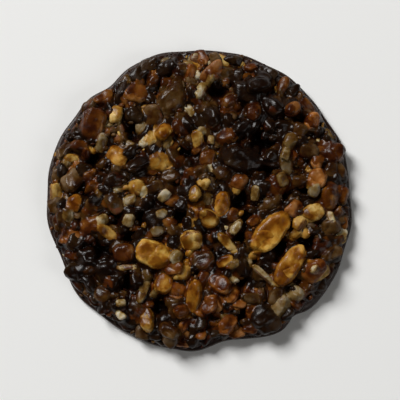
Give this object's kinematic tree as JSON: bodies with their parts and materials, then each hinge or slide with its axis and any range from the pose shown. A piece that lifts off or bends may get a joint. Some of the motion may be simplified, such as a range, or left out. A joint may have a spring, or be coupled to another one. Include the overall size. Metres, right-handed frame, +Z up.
{
  "type": "florentine cookie",
  "caption": "Round florentine biscuit of chopped almonds set in dark caramel on a thin foot of dark chocolate, lying flat.",
  "frame": {"origin": "on the table, on the flat underside of the chocolate foot, under the middle of the biscuit", "axes": "+Z up, out of the almond side; +Y away from the viewer, +X to the right"},
  "size_m": [0.0643, 0.0637, 0.0064],
  "materials": {
    "dark_chocolate": "satin dark chocolate",
    "almond_caramel": "sticky glossy caramel with almonds"
  },
  "bodies": {
    "root": {"chocolate_foot": "dark_chocolate", "almond_layer": "almond_caramel"}
  },
  "joints": []
}
